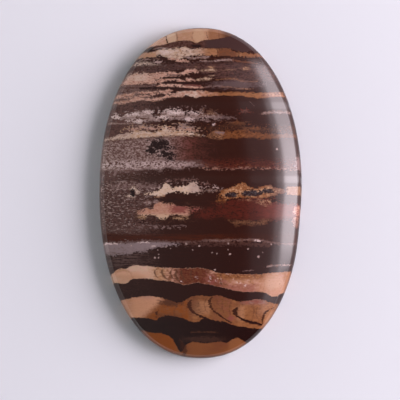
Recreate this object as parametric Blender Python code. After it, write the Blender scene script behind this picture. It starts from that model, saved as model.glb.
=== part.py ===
"""Outback jasper: one hand-cut, polished oval cabochon of banded stone, lying on its flat back.

Metres, +Z up. The stone's long axis runs along Y and its width along X. The origin is the middle of
the flat back, so the stone stands on the plane z = 0 with its dome upwards.
"""

import math

import bpy

LENGTH = 0.0500
WIDTH = 0.0307
THICKNESS = 0.0055

# The oval is a superellipse: 2 is a true ellipse, and a higher power has fuller shoulders.
OUTLINE_POWER = 2.18
# The lower right flank was ground a little flatter than the rest of the oval.
FLAT_DIRECTION = math.radians(-17)
FLAT_SPREAD = math.radians(16)
FLAT_DEPTH = 0.013

# From the flat back, a small bevel leads out to the widest line. The girdle wall leans inwards from
# there up to the arris, the line where the dome starts.
BACK_BEVEL = 0.00045
BACK_BEVEL_HEIGHT = 0.00040
ARRIS_HEIGHT = 0.0025
GIRDLE_LEAN = math.radians(7)
ARRIS_SOFTNESS = 0.00035

# The dome is the cap of a flat ellipse, cut off at this share of the ellipse's half-width.
CAP_SHARE = 0.945
# It stays flat for longer towards the two tips (the higher power) than towards the sides.
SIDE_FULLNESS = 2.0
TIP_FULLNESS = 2.5

SPOKES = 96
DOME_RINGS = 11
ARRIS_STEPS = 3

STONE_COLOUR = (0.085, 0.038, 0.030, 1.0)
STONE_ROUGHNESS = 0.22


def clear_scene():
    for old in list(bpy.data.objects):
        bpy.data.objects.remove(old, do_unlink=True)


def outline_reach(angle, inset):
    """Distance from the middle to the oval in this direction, with the outline moved inwards."""
    across = abs(math.cos(angle)) / (WIDTH / 2 - inset)
    along = abs(math.sin(angle)) / (LENGTH / 2 - inset)
    reach = (across**OUTLINE_POWER + along**OUTLINE_POWER) ** (-1 / OUTLINE_POWER)
    turn = math.remainder(angle - FLAT_DIRECTION, math.tau)
    return reach * (1 - FLAT_DEPTH * math.exp(-((turn / FLAT_SPREAD) ** 2)))


def dome_height(share, angle):
    """Height of the dome above the back: share is 0 at the crown and 1 at the arris."""
    tip_share = (outline_reach(angle, 0.0) * math.sin(angle) / (LENGTH / 2)) ** 2
    fullness = SIDE_FULLNESS + (TIP_FULLNESS - SIDE_FULLNESS) * tip_share
    foot = math.sqrt(1 - CAP_SHARE**fullness)
    rise = (math.sqrt(1 - (CAP_SHARE * share) ** fullness) - foot) / (1 - foot)
    return ARRIS_HEIGHT + (THICKNESS - ARRIS_HEIGHT) * rise


def soft_corner(before, corner, after, steps):
    """Points of a curve that leaves before and reaches after without touching the corner."""
    points = []
    for step in range(steps + 1):
        t = step / steps
        points.append(
            tuple(
                (1 - t) ** 2 * a + 2 * t * (1 - t) * b + t**2 * c
                for a, b, c in zip(before, corner, after)
            )
        )
    return points


def spoke_profile(angle):
    """The stone's section in this direction, as (distance from the middle, height) pairs."""
    wall_height = ARRIS_HEIGHT - BACK_BEVEL_HEIGHT
    arris_reach = outline_reach(angle, wall_height * math.tan(GIRDLE_LEAN))
    corner = (arris_reach, ARRIS_HEIGHT)
    wall_top = (
        arris_reach + ARRIS_SOFTNESS * math.sin(GIRDLE_LEAN),
        ARRIS_HEIGHT - ARRIS_SOFTNESS * math.cos(GIRDLE_LEAN),
    )
    dome_share = 1 - ARRIS_SOFTNESS / arris_reach
    dome_foot = (arris_reach * dome_share, dome_height(dome_share, angle))

    profile = [
        (outline_reach(angle, BACK_BEVEL), 0.0),
        (outline_reach(angle, 0.0), BACK_BEVEL_HEIGHT),
    ]
    profile += soft_corner(wall_top, corner, dome_foot, ARRIS_STEPS)
    widest_turn = math.asin(CAP_SHARE)
    for ring in range(1, DOME_RINGS):
        turn = widest_turn * (1 - ring / DOME_RINGS)
        share = math.sin(turn) / CAP_SHARE * dome_share
        profile.append((arris_reach * share, dome_height(share, angle)))
    return profile


def off_centre(angles):
    """How far the flatter flank leaves the middle of the oval's width from x = 0."""
    reaches = [outline_reach(angle, 0.0) * math.cos(angle) for angle in angles]
    return (max(reaches) + min(reaches)) / 2


def add_stone(name):
    angles = [math.tau * spoke / SPOKES for spoke in range(SPOKES)]
    profiles = [spoke_profile(angle) for angle in angles]
    middle = off_centre(angles)
    rings = len(profiles[0])
    vertices = []
    for ring in range(rings):
        for angle, profile in zip(angles, profiles):
            reach, height = profile[ring]
            vertices.append((reach * math.cos(angle) - middle, reach * math.sin(angle), height))
    crown = len(vertices)
    vertices.append((-middle, 0.0, THICKNESS))

    faces = [tuple(reversed(range(SPOKES)))]
    for ring in range(rings - 1):
        lower = ring * SPOKES
        upper = lower + SPOKES
        for spoke in range(SPOKES):
            after = (spoke + 1) % SPOKES
            faces.append((lower + spoke, lower + after, upper + after, upper + spoke))
    last = (rings - 1) * SPOKES
    for spoke in range(SPOKES):
        faces.append((last + spoke, last + (spoke + 1) % SPOKES, crown))

    mesh = bpy.data.meshes.new(name)
    mesh.from_pydata(vertices, [], faces)
    mesh.shade_smooth()
    mesh.set_sharp_from_angle(angle=math.radians(35))
    stone = bpy.data.objects.new(name, mesh)
    bpy.context.scene.collection.objects.link(stone)
    return stone


def stone_material():
    material = bpy.data.materials.new("polished_banded_stone")
    material.use_nodes = True
    shader = material.node_tree.nodes["Principled BSDF"]
    shader.inputs["Base Color"].default_value = STONE_COLOUR
    shader.inputs["Roughness"].default_value = STONE_ROUGHNESS
    shader.inputs["Metallic"].default_value = 0.0
    material.diffuse_color = STONE_COLOUR
    return material


def main():
    clear_scene()
    cabochon = add_stone("jasper_cabochon")
    cabochon.data.materials.append(stone_material())


main()
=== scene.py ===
# %% [markdown]
# # A polished cabochon of outback jasper
#
# A cabochon is a stone that is ground to a smooth dome over a flat back, here to an oval. Nothing is
# fixed to it, so the whole lesson is about one solid and one finish: how the dome is shaped, how the
# bands of the rock run through it, and how the light of a photo studio lies on its polish.
#
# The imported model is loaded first. It gives the stone's real size, and everything below is measured
# from it. Lengths are metres, except inside the rock's pattern, which is drawn in millimetres.

import math

import bpy
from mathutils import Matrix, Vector


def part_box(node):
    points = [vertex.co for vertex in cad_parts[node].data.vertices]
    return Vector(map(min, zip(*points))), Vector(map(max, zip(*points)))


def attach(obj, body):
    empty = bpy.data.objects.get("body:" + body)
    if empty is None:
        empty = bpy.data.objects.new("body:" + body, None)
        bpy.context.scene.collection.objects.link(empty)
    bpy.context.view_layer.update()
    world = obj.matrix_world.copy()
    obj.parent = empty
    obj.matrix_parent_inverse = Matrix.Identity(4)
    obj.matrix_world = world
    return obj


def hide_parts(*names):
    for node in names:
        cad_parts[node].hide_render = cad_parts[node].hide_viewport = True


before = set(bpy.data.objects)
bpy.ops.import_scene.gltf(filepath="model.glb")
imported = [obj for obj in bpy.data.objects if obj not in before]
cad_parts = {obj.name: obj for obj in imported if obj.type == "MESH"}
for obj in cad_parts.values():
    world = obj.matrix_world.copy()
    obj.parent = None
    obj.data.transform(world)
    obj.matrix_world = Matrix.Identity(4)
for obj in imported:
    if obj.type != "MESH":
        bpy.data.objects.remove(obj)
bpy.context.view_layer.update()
low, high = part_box("jasper_cabochon")
WIDTH, LENGTH, THICKNESS = high - low
MM = 0.001
print(f"stone: {WIDTH / MM:.1f} x {LENGTH / MM:.1f} x {THICKNESS / MM:.1f} mm")

# %% [markdown]
# ## Where the photographer stands
#
# The stone is seen from straight above through a long lens, which shows its outline almost without
# perspective. The camera could be set by eye, but the picture's scale is known: the stone is 330
# pixels long in a picture 400 pixels wide. So the height of the camera follows from its lens, and
# the small offset from where the stone lies in the picture.

# %% Camera
PICTURE_SIDE = 400
STONE_LENGTH_PX = 330.0
STONE_MIDDLE_PX = (200.6, 193.1)
LENS_MM = 100
SENSOR_MM = 13.5

metres_per_pixel = LENGTH / STONE_LENGTH_PX
picture_width = PICTURE_SIDE * metres_per_pixel
camera_height = picture_width * LENS_MM / SENSOR_MM
camera_data = bpy.data.cameras.new("overhead_camera")
camera_data.lens = LENS_MM
camera_data.sensor_width = SENSOR_MM
camera_data.clip_start = 0.01
camera = bpy.data.objects.new("overhead_camera", camera_data)
bpy.context.scene.collection.objects.link(camera)
camera.location = (
    (PICTURE_SIDE / 2 - STONE_MIDDLE_PX[0]) * metres_per_pixel,
    (STONE_MIDDLE_PX[1] - PICTURE_SIDE / 2) * metres_per_pixel,
    camera_height,
)
bpy.context.scene.camera = camera
print(f"camera {camera.location.z * 1000:.0f} mm above the table")

# %% [markdown]
# ## Nodes written as maths
#
# Both the shape and the rock's pattern are node trees of many small steps. Wiring them by hand is
# slow to write and slower to read. A `Wire` stands for one output of a node, and Python's own
# operators on it add the Math nodes, so that `1 - mask * 0.5` is three words and not two nodes and
# three links. `Bench.add` makes every other node: its settings first, then what goes in.
#
# A tree with thousands of nodes gets slow to build, and nobody can read it in the editor. A
# `GroupBench` therefore lays a node group open on the bench. While it is open every new node goes
# into it, and a wire from outside comes in through an input that is made when it is first needed.

# %% Wires
class Wire:
    """The output of a node. Operators on it add Math nodes and give the new output."""

    def __init__(self, bench, socket):
        self.bench = bench
        self.socket = socket

    def math(self, operation, *others):
        return self.bench.add("ShaderNodeMath", {"operation": operation}, (self, *others))

    def out(self, name):
        """Another output of the same node."""
        return Wire(self.bench, self.socket.node.outputs[name])

    def __add__(self, other):
        return self.math("ADD", other)

    def __sub__(self, other):
        return self.math("SUBTRACT", other)

    def __rsub__(self, other):
        return self.bench.add("ShaderNodeMath", {"operation": "SUBTRACT"}, (other, self))

    def __mul__(self, other):
        return self.math("MULTIPLY", other)

    def __truediv__(self, other):
        return self.math("DIVIDE", other)

    def __rtruediv__(self, other):
        return self.bench.add("ShaderNodeMath", {"operation": "DIVIDE"}, (other, self))

    def __pow__(self, other):
        return self.math("POWER", other)

    def __neg__(self):
        return self.math("MULTIPLY", -1.0)

    def __abs__(self):
        return self.math("ABSOLUTE")

    __radd__ = __add__
    __rmul__ = __mul__

    def between(self, start, end, low=0.0, high=1.0, curve="SMOOTHSTEP"):
        """Goes from low to high while this goes from start to end, and stays there outside."""
        settings = {"interpolation_type": curve, "clamp": curve == "LINEAR"}
        return self.bench.add("ShaderNodeMapRange", settings, (self, start, end, low, high))


# %% Benches
def draw_curve(node, points, straight):
    """Puts these points on a Float Curve node, smoothly or as straight steps."""
    line = node.mapping.curves[0]
    line.points[0].location = points[0]
    line.points[1].location = points[-1]
    for x, y in points[1:-1]:
        line.points.new(x, y)
    if straight:
        for point in line.points:
            point.handle_type = "VECTOR"
    node.mapping.extend = "HORIZONTAL"
    node.mapping.update()


class Bench:
    """A node tree on the workbench."""

    def __init__(self, tree):
        self.tree = tree
        self.open_group = None
        tree.nodes.clear()

    def add(self, kind, settings=None, inputs=(), output=0):
        """Makes a node, sets it up, feeds its sockets and gives one of its outputs."""
        if self.open_group:
            return self.open_group.add(kind, settings, inputs, output)
        node = self.tree.nodes.new(kind)
        for name, value in (settings or {}).items():
            if name in ("curve", "steps"):
                draw_curve(node, value, straight=name == "steps")
            else:
                setattr(node, name, value)
        fed = inputs.items() if isinstance(inputs, dict) else enumerate(inputs)
        for key, value in fed:
            self.feed(node.inputs[key], value)
        return Wire(self, node.outputs[output]) if node.outputs else node

    def reach(self, wire):
        """The wire as this bench can use it."""
        return wire

    def feed(self, socket, value):
        if isinstance(value, Wire):
            self.tree.links.new(self.reach(value).socket, socket)
        else:
            socket.default_value = value


# %% Groups on a bench
class GroupBench(Bench):
    """A node group laid open on another bench. Wires from there come in through its own inputs."""

    KINDS = {"VALUE": "NodeSocketFloat", "VECTOR": "NodeSocketVector", "RGBA": "NodeSocketColor"}

    def __init__(self, outer, name):
        super().__init__(bpy.data.node_groups.new(name, outer.tree.bl_idname))
        self.outer = outer
        self.given = {}
        outer.open_group = self

    def reach(self, wire):
        if wire.bench is self:
            return wire
        if wire not in self.given:
            name = f"Given {len(self.given)}"
            kind = self.KINDS[wire.socket.type]
            self.tree.interface.new_socket(name=name, in_out="INPUT", socket_type=kind)
            self.given[wire] = self.add("NodeGroupInput", output=name)
        return self.given[wire]

    def close(self, result):
        """Puts the finished group on the outer bench and gives its result there."""
        kind = self.KINDS[result.socket.type]
        self.tree.interface.new_socket(name="Result", in_out="OUTPUT", socket_type=kind)
        self.add("NodeGroupOutput", inputs=(result,))
        self.outer.open_group = None
        return self.outer.add("ShaderNodeGroup", {"node_tree": self.tree}, tuple(self.given))


# %% [markdown]
# ## The cut of the stone
#
# A cutter saws a slab, grinds the oval outline, leans the girdle wall in so that a bezel can grip it,
# and then rounds the dome on ever finer wheels. That is a rule, not a sculpture: every section
# through the middle is the same profile, stretched to the outline. So one ready-made cylinder of
# points is moved onto the rule by Geometry Nodes: its bottom becomes the flat back, its side the
# bevel and the wall, and its top the dome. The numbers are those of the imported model.

# %% Sizes of the cut
OUTLINE_POWER = 2.18
FLAT_DIRECTION = math.radians(-17)
FLAT_SPREAD = math.radians(16)
FLAT_DEPTH = 0.013
CUT = {
    "Width": 30.7 * MM,
    "Length": LENGTH,
    "Thickness": THICKNESS,
    "Bevel width": 0.45 * MM,
    "Bevel height": 0.40 * MM,
    "Arris height": 2.5 * MM,
    "Girdle lean": math.radians(7),
    "Corner softness": 0.35 * MM,
    "Belly softness": 0.2 * MM,
    "Cap share": 0.945,
    "Side fullness": 2.0,
    "Tip fullness": 2.5,
    "Spokes": 360,
    "Wall rings": 14,
    "Cap rings": 96,
}


def outline_reach(angle):
    """Distance from the middle to the oval's widest line in this direction."""
    across = abs(math.cos(angle)) / (CUT["Width"] / 2)
    along = abs(math.sin(angle)) / (CUT["Length"] / 2)
    reach = (across**OUTLINE_POWER + along**OUTLINE_POWER) ** (-1 / OUTLINE_POWER)
    turn = math.remainder(angle - FLAT_DIRECTION, math.tau)
    return reach * (1 - FLAT_DEPTH * math.exp(-((turn / FLAT_SPREAD) ** 2)))


MEASURED_SPOKES = 96
edge = [
    outline_reach(math.tau * spoke / MEASURED_SPOKES) * math.cos(math.tau * spoke / MEASURED_SPOKES)
    for spoke in range(MEASURED_SPOKES)
]
MIDDLE_X = (max(edge) + min(edge)) / 2
print(f"the flatter flank sets the middle {MIDDLE_X / MM:.3f} mm off centre")

# %% The tree and its named inputs
cut = Bench(bpy.data.node_groups.new("cabochon_cut", "GeometryNodeTree"))
cut.tree.interface.new_socket(name="Geometry", in_out="OUTPUT", socket_type="NodeSocketGeometry")
cut_inputs = {}
for name, value in CUT.items():
    kind = "NodeSocketInt" if isinstance(value, int) else "NodeSocketFloat"
    socket = cut.tree.interface.new_socket(name=name, in_out="INPUT", socket_type=kind)
    cut_inputs[name] = socket.identifier
size = cut.add("NodeGroupInput").out
print(f"{len(cut_inputs)} sizes go into the tree")

# %% Points of the cylinder as directions and shares
cylinder = cut.add(
    "GeometryNodeMeshCylinder",
    {"fill_type": "TRIANGLE_FAN"},
    {
        "Vertices": size("Spokes"),
        "Side Segments": size("Wall rings"),
        "Fill Segments": size("Cap rings"),
        "Radius": 1.0,
        "Depth": 1.0,
    },
)
at = cut.add("ShaderNodeSeparateXYZ", inputs=(cut.add("GeometryNodeInputPosition"),)).out
angle = at("Y").math("ARCTAN2", at("X"))
share = (at("X") * at("X") + at("Y") * at("Y")).math("SQRT").math("MINIMUM", 1.0)
climb = at("Z") + 0.5
ON_DOME = 0.999
is_dome = climb.math("GREATER_THAN", ON_DOME)
cosine = angle.math("COSINE")
sine = angle.math("SINE")
off_flank = (angle - FLAT_DIRECTION) / FLAT_SPREAD
flank = 1 - (-(off_flank * off_flank)).math("EXPONENT") * FLAT_DEPTH


def reach_at(inset):
    """The tree's own outline_reach, for the outline moved inwards."""
    across = (abs(cosine) / (size("Width") / 2 - inset)) ** OUTLINE_POWER
    along = (abs(sine) / (size("Length") / 2 - inset)) ** OUTLINE_POWER
    return flank * (across + along) ** (-1 / OUTLINE_POWER)


print(f"{CUT['Spokes']} directions and {CUT['Cap rings']} rings on the dome")

# %% Profile of the dome
widest = reach_at(0.0)
tip_share = widest * sine / (size("Length") / 2)
fullness = size("Side fullness") + (size("Tip fullness") - size("Side fullness")) * tip_share * tip_share
cap_foot = (1 - size("Cap share") ** fullness).math("SQRT")
dome_rise = size("Thickness") - size("Arris height")


def dome_height(dome_share):
    """Height of the dome above the back: 0 is the crown and 1 the arris."""
    arc = (1 - (size("Cap share") * dome_share) ** fullness).math("SQRT")
    return size("Arris height") + dome_rise * (arc - cap_foot) / (1 - cap_foot)


print(f"{len(cut.tree.nodes)} nodes up to the dome")

# %% Profile of the bevel and the wall
wall_inset = (size("Arris height") - size("Bevel height")) * size("Girdle lean").math("TANGENT")
arris_reach = reach_at(wall_inset)
lean_in = size("Girdle lean").math("SINE")
lean_up = size("Girdle lean").math("COSINE")
foot_share = 1 - size("Corner softness") / arris_reach
dome_foot = (arris_reach * foot_share, dome_height(foot_share))
wall_top = (
    arris_reach + size("Corner softness") * lean_in,
    size("Arris height") - size("Corner softness") * lean_up,
)
wall_foot = (
    widest - size("Belly softness") * lean_in,
    size("Bevel height") + size("Belly softness") * lean_up,
)
back_edge = (reach_at(size("Bevel width")), 0.0)


def soft_corner(before, corner, after, t):
    """A curve that leaves before and reaches after without touching the corner."""
    u = 1 - t
    return tuple(u * u * a + u * t * 2 * b + t * t * c for a, b, c in zip(before, corner, after))


BEVEL_ENDS = 0.35
WALL_ENDS = 0.6
low_turn = climb.between(0, BEVEL_ENDS, curve="LINEAR")
straight = climb.between(BEVEL_ENDS, WALL_ENDS, curve="LINEAR")
high_turn = climb.between(WALL_ENDS, 1, curve="LINEAR")
belly = soft_corner(back_edge, (widest, size("Bevel height")), wall_foot, low_turn)
arris = soft_corner(wall_top, (arris_reach, size("Arris height")), dome_foot, high_turn)
side_reach = belly[0] + (wall_top[0] - wall_foot[0]) * straight + (arris[0] - wall_top[0])
side_height = belly[1] + (wall_top[1] - wall_foot[1]) * straight + (arris[1] - wall_top[1])
print(f"{len(cut.tree.nodes)} nodes with the bevel and the wall")

# %% Choose between side and dome
# Rings crowd towards the arris, where the dome curves most.
crowded = (share * size("Cap share").math("ARCSINE")).math("SINE") / size("Cap share")
dome_share = crowded * foot_share
stone_reach = side_reach * share + (arris_reach * dome_share - side_reach * share) * is_dome
stone_height = side_height + (dome_height(dome_share) - side_height) * is_dome
print(f"{len(cut.tree.nodes)} nodes for the whole profile")

# %% [markdown]
# ## A flat map of the surface
#
# An exported stone carries its pattern as a picture, and a map says where each face lies in it. For a
# cabochon the map can be laid out by the same rule as the shape: the dome seen from above with the
# wall folded out flat round it, and beside it the flat back.

# %% Flat map
SHEET_SIDE = 68 * MM
FRONT_MIDDLE = (18.6 * MM / SHEET_SIDE, 0.5)
BACK_MIDDLE = (52.4 * MM / SHEET_SIDE, 0.5)
FOLDED_WALL = 3.0 * MM
front_reach = dome_foot[0] + (1 - climb) * FOLDED_WALL
front_reach = front_reach + (arris_reach * dome_share - front_reach) * is_dome
front_u = front_reach * cosine / SHEET_SIDE + FRONT_MIDDLE[0]
front_v = front_reach * sine / SHEET_SIDE + FRONT_MIDDLE[1]
back_reach = back_edge[0] * share
back_u = BACK_MIDDLE[0] - back_reach * cosine / SHEET_SIDE
back_v = back_reach * sine / SHEET_SIDE + BACK_MIDDLE[1]
on_back = cylinder.out("Bottom")
map_u = front_u + (back_u - front_u) * on_back
map_v = front_v + (back_v - front_v) * on_back
mapped = cut.add(
    "GeometryNodeStoreNamedAttribute",
    {"data_type": "FLOAT2", "domain": "CORNER"},
    {
        "Geometry": cylinder,
        "Name": "OFBake",
        "Value": cut.add("ShaderNodeCombineXYZ", inputs=(map_u, map_v, 0.0)),
    },
)
print(f"the map is a square sheet of {SHEET_SIDE / MM:.0f} mm")

# %% Move the points, then polish
placed = cut.add(
    "GeometryNodeSetPosition",
    inputs={
        "Geometry": mapped,
        "Position": cut.add(
            "ShaderNodeCombineXYZ",
            inputs=(stone_reach * cosine - MIDDLE_X, stone_reach * sine, stone_height),
        ),
    },
)
smooth = cut.add("GeometryNodeSetShadeSmooth", inputs={"Geometry": placed})
material = bpy.data.materials.new("polished_jasper")
material.use_nodes = True
solid = cut.add("GeometryNodeRealizeInstances", inputs=(smooth,))
finished = cut.add("GeometryNodeSetMaterial", inputs={"Geometry": solid, "Material": material})
cut.add("NodeGroupOutput", inputs=(finished,))
print(f"{len(cut.tree.nodes)} nodes in the finished cut")

# %% Cut the stone
scene = bpy.context.scene
rough = bpy.data.objects.new("rough", bpy.data.meshes.new("rough"))
scene.collection.objects.link(rough)
grind = rough.modifiers.new("grind", "NODES")
grind.node_group = cut.tree
for name, value in CUT.items():
    grind[cut_inputs[name]] = value
ground = rough.evaluated_get(bpy.context.evaluated_depsgraph_get())
stone_mesh = bpy.data.meshes.new_from_object(ground)
rough.modifiers.clear()
bpy.data.objects.remove(rough)
stone = bpy.data.objects.new("banded_stone", stone_mesh)
scene.collection.objects.link(stone)
print(f"{len(stone_mesh.vertices)} points, sides {tuple(round(s / MM, 2) for s in stone.dimensions)} mm")

# %% [markdown]
# ## The rock as a solid pattern
#
# Outback jasper is old silt that silica has turned to stone. Iron stained its layers chocolate, maroon
# and near black, and thin seams between them stayed cream, tan and orange. A cutter slices through
# all of it, so the bands don't lie on the dome like paint: they run on down the wall and over the
# back. The pattern therefore reads Object coordinates, as a solid, and not a flat map.
#
# Everything is placed in millimetres as the eye meets it on the finished stone: `across` counts from
# the middle to the right, and `down` from the top tip. Under the arris the layers dip a little, as
# real ones do, so the back isn't a copy of the front.

# %% Places in the rock
rock = Bench(material.node_tree)
here = rock.add("ShaderNodeTexCoord", output="Object")
spot = rock.add("ShaderNodeSeparateXYZ", inputs=(here,)).out
LAYER_DIP = 0.2
LAYER_DRIFT = 0.2
buried = (CUT["Arris height"] / MM - spot("Z") / MM).math("MAXIMUM", 0.0)
across = spot("X") / MM + buried * LAYER_DRIFT
down = LENGTH / 2 / MM - spot("Y") / MM - buried * LAYER_DIP
place = rock.add("ShaderNodeCombineXYZ", inputs=(across, down, spot("Z") / MM))
flat_place = rock.add("ShaderNodeCombineXYZ", inputs=(across, down, 0.0))
ACROSS_SPAN = 34.0
DOWN_SPAN = 54.0
across_share = across / ACROSS_SPAN + 0.5
down_share = down / DOWN_SPAN
print(f"the pattern spans {ACROSS_SPAN:.0f} by {DOWN_SPAN:.0f} mm")


# %% Noise at the sizes of the rock's own detail
def field(stretch, detail, roughness=0.55, offset=0.0):
    """Smooth noise from about -1 to 1. The stretch is in features per millimetre."""
    moved = rock.add(
        "ShaderNodeVectorMath",
        {"operation": "MULTIPLY_ADD"},
        (place, stretch, (offset, offset, offset)),
    )
    noise = rock.add(
        "ShaderNodeTexNoise",
        inputs={"Vector": moved, "Scale": 1.0, "Detail": detail, "Roughness": roughness},
    )
    return noise * 4.4 - 2.2


ragged = field((1.0, 1.9, 1.0), 3, 0.6)
mottle = field((1.9, 3.4, 1.9), 2, 0.6, 7.3)
grain = field((3.4, 4.8, 3.4), 2, 0.6, 3.1)
streak = field((0.45, 6.5, 0.45), 3, 0.6, 11.7)
cloud = field((0.28, 0.6, 0.28), 2, 0.5, 5.9)
flecks = field((2.2, 5.2, 2.2), 2, 0.6, 17.3)
threads = abs(field((0.7, 2.6, 0.7), 2, 0.5, 23.9)).between(0.17, 0.04)
fray = ragged * 0.5 + mottle * 0.45 + grain * 0.85
grit = mottle * 0.5 + grain * 0.85
print(f"{len(rock.tree.nodes)} nodes of noise")

# %% Colours of the rock
PALETTE = {
    "ink": (30, 12, 11),
    "char": (40, 15, 11),
    "maroon": (45, 15, 8),
    "chocolate": (56, 25, 14),
    "rust": (66, 24, 8),
    "brick": (82, 29, 19),
    "plum": (62, 42, 41),
    "dusk": (94, 63, 56),
    "umber": (84, 54, 42),
    "bark": (82, 50, 34),
    "russet": (96, 54, 28),
    "burnt": (126, 62, 12),
    "smoke": (94, 72, 68),
    "ash": (132, 113, 114),
    "mauve": (128, 102, 98),
    "slate": (66, 60, 64),
    "haze": (162, 137, 131),
    "mist": (200, 176, 172),
    "frost": (226, 204, 198),
    "blush": (202, 160, 142),
    "shell": (204, 178, 162),
    "cream": (196, 164, 138),
    "sand": (180, 140, 108),
    "tan": (160, 112, 80),
    "amber": (144, 94, 58),
    "ochre": (120, 70, 38),
    "sienna": (104, 58, 36),
    "salmon": (178, 130, 110),
    "rose": (128, 69, 61),
    "peach": (196, 142, 110),
}


def tint(name):
    """A palette colour as the linear light that a shader reckons with."""
    return tuple(
        part / 12.92 if part <= 0.04045 else ((part + 0.055) / 1.055) ** 2.4
        for part in (value / 255 for value in PALETTE[name])
    ) + (1.0,)


print(f"{len(PALETTE)} colours")


# %% Mixing colours
def blend(share, first, second):
    """Mixes two colours, each a palette name or a wire."""
    first, second = (tint(c) if isinstance(c, str) else c for c in (first, second))
    return rock.add("ShaderNodeMix", {"data_type": "RGBA"}, {0: share, 6: first, 7: second}, output=2)


def marble(noise, first, second, middle=0.0, soft=0.5):
    """Goes from the first colour to the second where the noise passes the middle value."""
    return blend(noise.between(middle - soft, middle + soft), first, second)


# %% [markdown]
# ## Seams, veins, cracks and patches
#
# Every mark in the rock is first a depth: how many millimetres a point lies inside the mark, and
# negative outside it. A depth is easy to fray, because noise is just added to it before it is cut
# off into a mask, and two marks join where the larger depth wins. A line is drawn as a Float
# Curve through a few given points. The arithmetic round it is the same every time, so it is made once as a
# node group for each sort of mark.

# %% Depth of each sort of mark
TIP_SLOPE = 0.4


def layer_depth(along, top, bottom):
    return (along - top * DOWN_SPAN).math("MINIMUM", bottom * DOWN_SPAN - along)


def tip_depth(beside, middle, half):
    """Depth that grows from both pointed ends of a line to its middle."""
    return (half - abs(beside - middle)) * TIP_SLOPE


def ended_layer_depth(along, top, bottom, beside, middle, half):
    return layer_depth(along, top, bottom).math("MINIMUM", tip_depth(beside, middle, half))


def vein_depth(along, course, beside, middle, half, width):
    thickest = tip_depth(beside, middle, half).math("MINIMUM", width / 2)
    return thickest - abs(along - course * DOWN_SPAN)


def crack_depth(along, course, beside, middle, half, width):
    thickest = tip_depth(beside, middle, half).math("MINIMUM", width / 2)
    return thickest - abs(along - (course - 0.5) * ACROSS_SPAN)


def patch_depth(place, middle, size, thickness):
    offset = place.bench.add("ShaderNodeVectorMath", {"operation": "SUBTRACT"}, (place, middle))
    scaled = place.bench.add("ShaderNodeVectorMath", {"operation": "DIVIDE"}, (offset, size))
    far = place.bench.add("ShaderNodeVectorMath", {"operation": "LENGTH"}, (scaled,), output="Value")
    return (1 - far) * thickness


# %% Node groups for the depths
class Tool:
    """A node group that is made once and then used like a function."""

    def __init__(self, work, numbers, vectors=()):
        self.tree = bpy.data.node_groups.new(work.__name__, "ShaderNodeTree")
        bench = Bench(self.tree)
        names = (*vectors, *numbers)
        for name in names:
            kind = "NodeSocketVector" if name in vectors else "NodeSocketFloat"
            self.tree.interface.new_socket(name=name, in_out="INPUT", socket_type=kind)
        self.tree.interface.new_socket(name="Depth", in_out="OUTPUT", socket_type="NodeSocketFloat")
        given = bench.add("NodeGroupInput")
        bench.add("NodeGroupOutput", inputs=(work(*(given.out(name) for name in names)),))

    def __call__(self, *values):
        return rock.add("ShaderNodeGroup", {"node_tree": self.tree}, values)


LAYER = ("Along", "Top", "Bottom")
LINE = ("Along", "Course", "Beside", "Middle", "Half", "Width")
layer_tool = Tool(layer_depth, LAYER)
ended_layer_tool = Tool(ended_layer_depth, (*LAYER, "Beside", "Middle", "Half"))
vein_tool = Tool(vein_depth, LINE)
crack_tool = Tool(crack_depth, LINE)
patch_tool = Tool(patch_depth, ("Thickness",), ("Place", "Middle", "Size"))
print(f"{len(bpy.data.node_groups)} node groups")


# %% Drawn lines
def trace(points):
    """The share of the way down at which a line lies, from its (across, down) points in mm."""
    drawn = [(a / ACROSS_SPAN + 0.5, d / DOWN_SPAN) for a, d in points]
    return rock.add("ShaderNodeFloatCurve", {"curve": drawn}, {"Value": across_share})


def upright_trace(points):
    """The share of the way across at which an upright line lies, from its (across, down) points."""
    drawn = [(d / DOWN_SPAN, a / ACROSS_SPAN + 0.5) for a, d in points]
    return rock.add("ShaderNodeFloatCurve", {"curve": drawn}, {"Value": down_share})


def ends(points, axis=0):
    """Middle and half length of a line."""
    first, last = points[0][axis], points[-1][axis]
    return (first + last) / 2, (last - first) / 2


# %% Seams, veins, cracks and patches
RIM = 14


def seam(top, bottom):
    """Depth inside the layer between two lines. It pinches out at an end that is inside the rim."""
    if top[0][0] <= -RIM and top[-1][0] >= RIM:
        return layer_tool(down, trace(top), trace(bottom))
    return ended_layer_tool(down, trace(top), trace(bottom), across, *ends(top))


def vein(points, width):
    """Depth inside a thin layer of one width, with pointed ends."""
    return vein_tool(down, trace(points), across, *ends(points), width)


def crack(points, width):
    """Depth inside a thin crack that runs down across the layers."""
    return crack_tool(across, upright_trace(points), down, *ends(points, 1), width)


def patch(middle_across, middle_down, half_across, half_down):
    """Depth inside an oval patch."""
    middle = (middle_across, middle_down, 0.0)
    size = (half_across, half_down, 1.0)
    return patch_tool(flat_place, middle, size, min(half_across, half_down))


def deepest(depths):
    """Joins several depths into the depth inside any of them."""
    joined = depths[0]
    for depth in depths[1:]:
        joined = joined.math("MAXIMUM", depth)
    return joined


# %% Masks
def cover(depth, rag=0.3, soft=0.07):
    """Turns depth into a mask with a frayed edge."""
    frayed = rock.add("ShaderNodeMath", {"operation": "MULTIPLY_ADD"}, (fray, rag, depth))
    return frayed.between(-soft, soft)


def gritty(pale, shade, share=0.15):
    """A colour with specks of another over about this share of it."""
    start = 1.2 - 2.6 * share
    return blend(grit.between(start - 0.35, start + 0.45), pale, shade)


def window(along, span, zero, start, end, fade):
    """A mask that is 1 from start to end and fades to 0 outside."""
    start_share, end_share, half_fade = start / span + zero, end / span + zero, fade / 2 / span
    steps = [
        (start_share - half_fade, 0.0),
        (start_share + half_fade, 1.0),
        (end_share - half_fade, 1.0),
        (end_share + half_fade, 0.0),
    ]
    return rock.add("ShaderNodeFloatCurve", {"steps": steps}, {"Value": along})


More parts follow.
